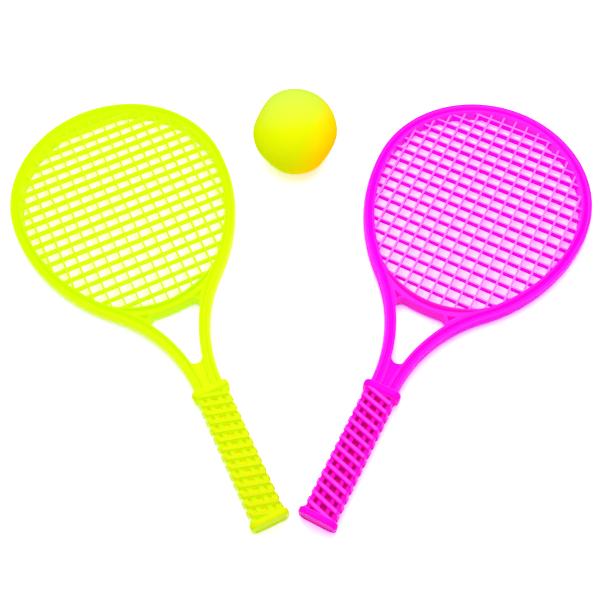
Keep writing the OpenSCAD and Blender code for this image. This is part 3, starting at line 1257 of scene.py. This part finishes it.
@dataclass
class GripRails(Piece):
    """The four rails that run through the grip, and the core plate between them."""

    sizes: RacketSizes
    width: float = 22.6
    thickness: float = 11.4
    outer_bar_w: float = 3.4
    inner_bar_w: float = 3.0
    inner_bar_x: float = 3.9
    core_t: float = 3.0
    edge: float = 0.5
    overrun: float = 1.0
    stations: int = 25
    top_shade: float = 0.5

    def shape(self, name: str, material: Material) -> Object:
        """Draws the section once, with a fillet in each groove, and runs it down the grip.

        Args:
            name: Name of the piece.
            material: Its finish, which is given to it later.

        Returns:
            The piece, without marks.
        """
        top, floor = self.thickness / 2, self.core_t / 2
        inner, outer = self.inner_bar_x - self.inner_bar_w / 2, self.inner_bar_x + self.inner_bar_w / 2
        wall, side = self.width / 2 - self.outer_bar_w, self.width / 2
        right = [(inner, floor), (inner, top), (outer, top), (outer, floor)]
        right += [(wall, floor), (wall, top), (side, top)]
        front = [(-x, z) for x, z in reversed(right)] + right
        ring = rounded([(x, z, self.edge) for x, z in front] + [(-x, -z, self.edge) for x, z in front])
        stations = np.linspace(self.sizes.grip_end_y - self.overrun, self.sizes.grip_top_y + self.overrun,
                               self.stations)
        return loft(name, [[(p.x, y, p.y) for p in ring] for y in stations])

    def sunk(self, vert: MeshVertex) -> float:
        """Painted shade that grows from the tops of the rails to the core plate."""
        top, floor = self.thickness / 2, self.core_t / 2
        return 1 - (1 - self.top_shade) * (abs(vert.co.z) - floor) / (top - floor)


@dataclass
class Ribs(Piece):
    """The slanting ribs that wrap one face of the grip and run on down its sides."""

    sizes: RacketSizes
    face: Face
    width: float = 25.6
    face_w: float = 21.4
    thickness: float = 17.0
    corner_r: float = 1.8
    pitch: float = 7.1
    rib_w: float = 3.8
    top_w: float = 3.1
    side_w: float = 4.8
    fall: float = 1.0
    side_fall: float = 0.25
    seat_w: float = 22.2
    seat_t: float = 11.0
    edge: float = 0.8
    overrun: float = 2.0
    face_stations: int = 7
    side_stations: int = 5
    corner_turn: float = 0.3
    edge_steps: int = 3
    spare: float = 0.001
    # Strengths and limits of its painted shade and painted highlight
    shade_per_mm: float = 0.3
    shade_start: float = 0.3
    ridge_depth: float = 0.22
    sharp: float = 50.0

    @property
    def step(self) -> float:
        """Distance from one rib to the next."""
        run = self.sizes.grip_l - self.rib_w
        return run / math.floor(run / self.pitch)

    @property
    def shift(self) -> float:
        """How far down the row starts, so that the ribs of both faces meet on the sides."""
        return 0.0 if self.face is Face.FRONT else (self.fall + 2 * self.side_fall) % 1 * self.step

    @property
    def count(self) -> int:
        """Number of ribs in the row."""
        return math.floor((self.sizes.grip_l - self.rib_w - self.shift) / self.step + self.spare) + 1

    def depth(self, spot: Vector) -> float:
        """Measures how deep a point of a rib lies below the grip's outside.

        Args:
            spot: The point.

        Returns:
            The depth in millimetres.
        """
        half_t = self.thickness / 2
        rise = abs(spot.z)
        side = self.width / 2 - (self.width - self.face_w) / 2 * rise / half_t
        return max(0.0, min(half_t - rise, side - abs(spot.x)))

    def section(self) -> list[tuple[Vector, Vector, Vector]]:
        """Draws the right half of a rib's line, from the middle of the face to the middle of the side.

        Returns:
            For each station the point on the grip's outside, the way out of it and the point on the rails.
        """
        half_t = self.thickness / 2
        side = Vector((self.width / 2, 0))
        edge = Vector((self.face_w / 2, half_t))
        draft = math.atan2(side.x - edge.x, half_t)
        reach = self.corner_r * math.tan((QUARTER - draft) / 2)
        corner = Vector((edge.x - reach, half_t - self.corner_r))
        seat = Vector((self.seat_w / 2, self.seat_t / 2))
        face = np.linspace(0, corner.x, self.face_stations)
        stations = [(Vector((x, half_t)), Vector((0, 1))) for x in face]
        for way in turn(Vector((0, 0)), 1.0, QUARTER, draft, self.corner_turn)[1:]:
            stations.append((corner + self.corner_r * way, way))
        low, way = stations[-1]
        stations += [(low.lerp(side, share), way) for share in np.linspace(0, 1, self.side_stations)[1:]]
        return [(p, way, Vector((min(p.x, seat.x), min(p.y, seat.y)))) for p, way in stations]

    def ring(self, point: Vector, way: Vector, seat: Vector) -> list[Spot]:
        """Draws the rib's rounded section at one station of its right half.

        Args:
            point: Where the station lies on the grip's outside.
            way: The way out of the grip.
            seat: Where the rib sits on the rails.

        Returns:
            The points of the section, from the side nearer the head round to the rails.
        """
        half_t = self.thickness / 2
        half_top = (self.top_w + (self.side_w - self.top_w) * (half_t - point.y) / half_t) / 2
        half_w = half_top + (self.rib_w - self.top_w) / 2
        drop = self.step * (self.fall * point.x / self.width + self.side_fall * (half_t - point.y) / half_t)
        flats = []
        for angle in np.linspace(0, QUARTER, self.edge_steps + 1):
            inset = point - way * self.edge * (1 - math.sin(angle))
            flats.append((inset, half_top - self.edge + self.edge * math.cos(angle)))
        flats += [(spot, -aside) for spot, aside in reversed(flats)] + [(seat, -half_w), (seat, half_w)]
        return [(spot.x, aside - drop, spot.y) for spot, aside in flats]

    def rib(self, name: str) -> Object:
        """Makes the first rib of the row.

        Args:
            name: Name of the object.

        Returns:
            The rib, in the racket's frame.
        """
        right = [self.ring(*station) for station in self.section()]
        left = [[(-x, -y, z) for x, y, z in ring] for ring in reversed(right[1:])]
        swapped = [[*reversed(ring[:-2]), ring[-1], ring[-2]] for ring in left]
        start, side = self.sizes.grip_top_y - self.rib_w / 2 - self.shift, self.face.value
        return loft(name, [[(side * x, start + y, side * z) for x, y, z in ring] for ring in swapped + right])

    def shape(self, name: str, material: Material) -> Object:
        """Repeats a rib down the grip and trims the row to the grip's length.

        Args:
            name: Name of the piece.
            material: Its finish.

        Returns:
            The piece, without marks.
        """
        recipe = Recipe("grip_ribs")
        count, step = recipe.size("Count", "Int"), recipe.size("Step")
        room, middle = recipe.size("Room", "Vector"), recipe.size("Middle", "Vector")
        down = recipe.add("Math", {0: step, 1: -1.0}, operation="MULTIPLY")
        offset = recipe.add("CombineXYZ", {"Y": down})
        places = recipe.add("MeshLine", {"Count": count, "Offset": offset})
        row = recipe.add("InstanceOnPoints", {"Points": places, "Instance": recipe.geometry})
        real = recipe.add("RealizeInstances", {"Geometry": row})
        block = recipe.add("MeshCube", {"Size": room})
        trim = recipe.add("Transform", {"Geometry": block, "Translation": middle})
        cut = recipe.add("MeshBoolean", {"Mesh": [real, trim]}, operation="INTERSECT", solver="MANIFOLD")
        recipe.close(cut, material)
        size = self.sizes
        return recipe.grow(self.rib(name), {
            "Count": self.count,
            "Step": self.step,
            "Room": (2 * self.width, size.grip_l + 2 * self.overrun, 2 * self.thickness),
            "Middle": (0.0, size.grip_end_y + size.grip_l / 2, 0.0),
        })

    def sunk(self, vert: MeshVertex) -> float:
        """Painted shade that grows with the depth on a rib's sides."""
        return self.shade_per_mm * (self.depth(vert.co) - self.shade_start)

    def painted_highlight(self, vert: MeshVertex) -> float:
        """Painted highlight on the tops."""
        return self.ridge_depth - self.depth(vert.co)


@dataclass
class Racket:
    """One racket: its place on the floor, its finish and its pieces."""

    name: str
    body: Body
    yaw: float
    head: Vector
    finish: MouldedPlastic
    sizes: RacketSizes
    # how far above the arms' joint the painted bounce tint starts, in millimetres
    painted_bounce_rise: float = 40.0

    def place(self) -> Matrix:
        """Works out the racket's place on the floor.

        Returns:
            The matrix, which also goes from millimetres to metres.
        """
        centre = (self.head.x, self.head.y, self.sizes.head_z)
        return (Matrix.Diagonal((MM, MM, MM, 1)) @ Matrix.Translation(centre)
                @ Matrix.Rotation(self.yaw, 4, "Z") @ Matrix.Rotation(-self.sizes.lean, 4, "X"))

    def material(self) -> Material:
        """Makes the racket's plastic, with a painted bounce tint along its own length.

        Returns:
            The material.
        """
        down = Vector((math.sin(self.yaw), -math.cos(self.yaw), 0))
        start = down.dot(Vector((self.head.x, self.head.y, 0))) * MM
        painted_bounce_y = self.sizes.joint.y + self.painted_bounce_rise
        return self.finish.material(down, start - painted_bounce_y * MM, start - self.sizes.butt_end_y * MM)

    def pieces(self) -> list[tuple[Piece, str, str]]:
        """Lists the racket's pieces.

        Returns:
            Each piece with its own name and the solid that it stands for.
        """
        size = self.sizes
        collar = EndPlate(size.neck_y, size.collar_l, width=29.0, thickness=19.0, corner_r=5.5, edge=2.6)
        butt = EndPlate(size.grip_end_y, size.butt_l, width=size.butt_w, thickness=size.butt_t, corner_r=6.5,
                        edge=size.butt_edge_r, border_w=2.6, dish=0.8)
        return [
            (Rim(size), "beam", "rim"),
            (Bridge(size), "throat_bridge", "bridge"),
            (Strings(size), "string_grid", "strings"),
            (NeckWeb(size), "neck_plate", "neck_web"),
            (collar, "collar_bead", "collar"),
            (GripRails(size), "grip_bars", "grip_rails"),
            (Ribs(size, Face.FRONT), "grip_front_ribs", "front_ribs"),
            (Ribs(size, Face.BACK), "grip_back_ribs", "back_ribs"),
            (butt, "butt_cap", "butt"),
        ]

    def dress(self, piece: Object, node: str, material: Material, sharp: float) -> None:
        """Puts a piece in its place, in the stead of its solid.

        Args:
            piece: The piece, in the racket's frame.
            node: Name of the solid that it stands for, without the racket's name.
            material: Its finish.
            sharp: Angle in degrees above which an edge stays sharp.
        """
        finish_mesh(piece, self.place(), sharp)
        piece.data.materials.clear()
        piece.data.materials.append(material)
        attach(piece, self.body.value)
        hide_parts(f"{self.name}_{node}")
        LOG.info("%s: %d faces", piece.name, len(piece.data.polygons))

    def build(self) -> None:
        """Builds and dresses the racket's pieces."""
        plastic = self.material()
        for piece, title, node in self.pieces():
            self.dress(piece.build(f"{self.name}_{title}", plastic), node, plastic, piece.sharp)


@dataclass
class FoamBall:
    """The foam ball, a little out of round."""

    centre: Vector
    radius: float
    finish: SoftFoam = field(default_factory=SoftFoam)
    fineness: int = 6
    bulge: float = 1.024
    softness: float = 18.0
    flats: tuple[tuple[Vector, float], ...] = (
        (Vector((-0.85, 0.46, 0.26)), 0.985),
        (Vector((-0.68, -0.63, -0.37)), 1.010),
        (Vector((0.81, -0.50, -0.29)), 0.995),
    )
    ripple: float = 0.006
    waves: tuple[Span, ...] = ((5, 1.3), (4, -0.4), (6, 2.1))

    def reach(self, way: Vector) -> float:
        """Works out how far the ball reaches in a direction, with its soft flats and faint ripples.

        Args:
            way: The direction.

        Returns:
            The share of its radius.
        """
        pressed = self.bulge ** -self.softness
        for flat, distance in self.flats:
            pressed += max(0.0, way.dot(flat.normalized()) / distance) ** self.softness
        ripple = math.prod(math.sin(rate * part + phase) for (rate, phase), part in zip(self.waves, way))
        return pressed ** (-1 / self.softness) * (1 + self.ripple * ripple)

    def build(self) -> None:
        """Shapes the ball, sets it on the floor and dresses it."""
        work = bmesh.new()
        bmesh.ops.create_icosphere(work, subdivisions=self.fineness, radius=1.0)
        for vert in work.verts:
            way = vert.co.normalized()
            vert.co = (self.centre + self.radius * self.reach(way) * way) * MM
        low = min(vert.co.z for vert in work.verts)
        bmesh.ops.translate(work, verts=work.verts, vec=(0, 0, -low))
        mesh = bpy.data.meshes.new("ball_foam_body")
        work.to_mesh(mesh)
        work.free()
        mesh.polygons.foreach_set("use_smooth", [True] * len(mesh.polygons))
        mesh.materials.append(self.finish.material(self.centre * MM, self.radius * MM))
        piece = new_object("ball_foam_body", mesh)
        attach(piece, Body.BALL.value)
        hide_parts("foam_ball")
        LOG.info("%s: %d faces", piece.name, len(mesh.polygons))


@dataclass
class Studio:
    """The white floor, the lamp, the sky and the camera."""

    target: Vector = Vector((-2.19, -6.65, 7.54)) * MM
    distance: float = 0.6556
    elevation: float = math.radians(64.953)
    roll: float = math.radians(1.561)
    lens: float = 51.0
    sensor: float = 36.0
    lamp_place: Vector = Vector((0.0, 0.10, 0.65))
    lamp_size: float = 0.50
    lamp_power: float = 2.8
    sky_low: float = 0.84
    sky_high: float = 0.60
    sky_shown: float = 1.0
    floor_reach: float = 6.0
    floor_tone: float = 0.80
    # Brighter than it lights, and a little blue against what the yellow strings throw on it
    floor_shown: Colour = (1.50, 1.51, 1.90)

    def camera(self) -> None:
        """Sets the camera at the photograph's place."""
        back = Vector((0, -math.cos(self.elevation), math.sin(self.elevation)))
        right = Vector((1, 0, 0))
        up = back.cross(right)
        cos, sin = math.cos(self.roll), math.sin(self.roll)
        side, rise = right * cos - up * sin, right * sin + up * cos
        turned = Matrix((side, rise, back)).transposed().to_4x4()
        data = bpy.data.cameras.new("camera")
        data.lens = self.lens
        data.sensor_width = self.sensor
        data.sensor_fit = "HORIZONTAL"
        camera = new_object("camera", data)
        camera.matrix_world = Matrix.Translation(self.target + self.distance * back) @ turned
        bpy.context.scene.camera = camera

    def lamp(self) -> None:
        """Hangs a soft lamp over the heads, turned to the middle of the set."""
        data = bpy.data.lights.new("lamp", "AREA")
        data.shape = "DISK"
        data.size = self.lamp_size
        data.energy = self.lamp_power
        lamp = new_object("lamp", data)
        lamp.matrix_world = (Matrix.Translation(self.lamp_place)
                             @ self.lamp_place.to_track_quat("Z", "Y").to_matrix().to_4x4())
        lamp.visible_camera = False

    @staticmethod
    def seen(wiring: Wiring) -> NodeSocket:
        """Tells whether a ray comes from the camera, a gloss or a clear piece.

        Args:
            wiring: The nodes of the tree that asks.

        Returns:
            One for such a ray, and nought otherwise.
        """
        value = wiring.add("LightPath", {}, "Is Camera Ray")
        path = value.node
        for name in ("Is Glossy Ray", "Is Transmission Ray"):
            value = wiring.add("Math", {0: value, 1: path.outputs[name]}, operation="MAXIMUM")
        return value

    def sky_light(self) -> None:
        """Lights the set softly from all around, a little more from the sides, with white behind it."""
        world = bpy.data.worlds.new("sky")
        bpy.context.scene.world = world
        world.use_nodes = True
        wiring = Wiring(world.node_tree, "ShaderNode")
        height = wiring.add("SeparateXYZ", {0: wiring.add("TexCoord", {}, "Generated")}, "Z")
        level = wiring.add("MapRange", {"Value": height, "To Min": self.sky_low, "To Max": self.sky_high})
        shown = wiring.add("Mix", {"Factor": self.seen(wiring), "A": level, "B": self.sky_shown})
        wiring.feed(world.node_tree.nodes["Background"], {"Color": (1, 1, 1, 1), "Strength": shown})

    def floor(self) -> None:
        """Lays a floor that is shown white and keeps the shadows."""
        mesh = bpy.data.meshes.new("floor")
        reach = self.floor_reach
        corners = [(-reach, -reach, 0), (reach, -reach, 0), (reach, reach, 0), (-reach, reach, 0)]
        mesh.from_pydata(corners, [], [(0, 1, 2, 3)])
        floor = new_object("floor", mesh)
        finish = Finish("white_floor")
        tone = finish.blend(self.seen(finish), (self.floor_tone,) * 3, self.floor_shown)
        matt = finish.add("BsdfDiffuse", {"Color": tone})
        finish.feed(finish.tree.nodes["Material Output"], {"Surface": matt})
        finish.tree.nodes.remove(finish.shader)
        mesh.materials.append(finish.material)

    def build(self) -> None:
        """Sets up the whole studio."""
        bpy.context.scene.view_settings.view_transform = "Standard"
        self.camera()
        self.lamp()
        self.sky_light()
        self.floor()


YELLOW_PLASTIC = MouldedPlastic(
    slot="yellow_plastic",
    light=(0.555, 0.88, 0.0005),
    deep=(0.535, 0.86, 0.0005),
    painted_bounce=(0.64, 0.60, 0.0005),
    side=(0.80, 0.97, 0.0005),
    shade=(0.61, 0.88, 0.0005),
    pocket=(0.88, 0.84, 0.0005),
    painted_highlight=(0.57, 0.90, 0.01),
    painted_glow=0.18,
)
PINK_PLASTIC = MouldedPlastic(
    slot="pink_plastic",
    light=(0.97, 0.001, 0.85),
    deep=(0.96, 0.001, 0.80),
    painted_bounce=(0.97, 0.001, 0.72),
    side=(0.99, 0.001, 0.90),
    shade=(0.96, 0.001, 0.58),
    pocket=(0.66, 0.001, 0.28),
    painted_highlight=(0.99, 0.24, 0.94),
    painted_glow=0.10,
)


@dataclass
class TennisSet:
    """The two rackets in a V and the ball between their heads."""

    yellow_yaw: float = math.radians(24.1)
    pink_yaw: float = math.radians(28.7)
    butts_gap: float = 6.0
    ball_aside: float = -2.5
    ball_ahead: float = 38.4
    ball_d: float = 67.0
    sizes: RacketSizes = field(default_factory=RacketSizes)

    def build(self) -> None:
        """Lays out and builds the rackets and the ball."""
        size = self.sizes
        apart = size.butt_side(self.yellow_yaw) + self.butts_gap + size.butt_side(self.pink_yaw)
        set_back = size.butt_end_y * (math.cos(self.yellow_yaw) - math.cos(self.pink_yaw))
        reach = size.head_r + size.half
        back = max(reach, set_back + reach, self.ball_ahead + self.ball_d / 2)
        front = min(size.butt_front(self.yellow_yaw), set_back + size.butt_front(self.pink_yaw))
        middle = Vector((apart / 2, (back + front) / 2))
        pink_head = Vector((apart, set_back)) - middle
        Racket("yellow", Body.YELLOW, self.yellow_yaw, -middle, YELLOW_PLASTIC, size).build()
        Racket("pink", Body.PINK, -self.pink_yaw, pink_head, PINK_PLASTIC, size).build()
        ball = Vector((apart / 2 + self.ball_aside, self.ball_ahead)) - middle
        FoamBall(Vector((ball.x, ball.y, self.ball_d / 2)), self.ball_d / 2).build()


def main() -> None:
    """Builds the studio and the set."""
    logging.basicConfig(level=logging.INFO, format="%(name)s %(message)s")
    Studio().build()
    TennisSet().build()


if __name__ == "__main__":
    main()
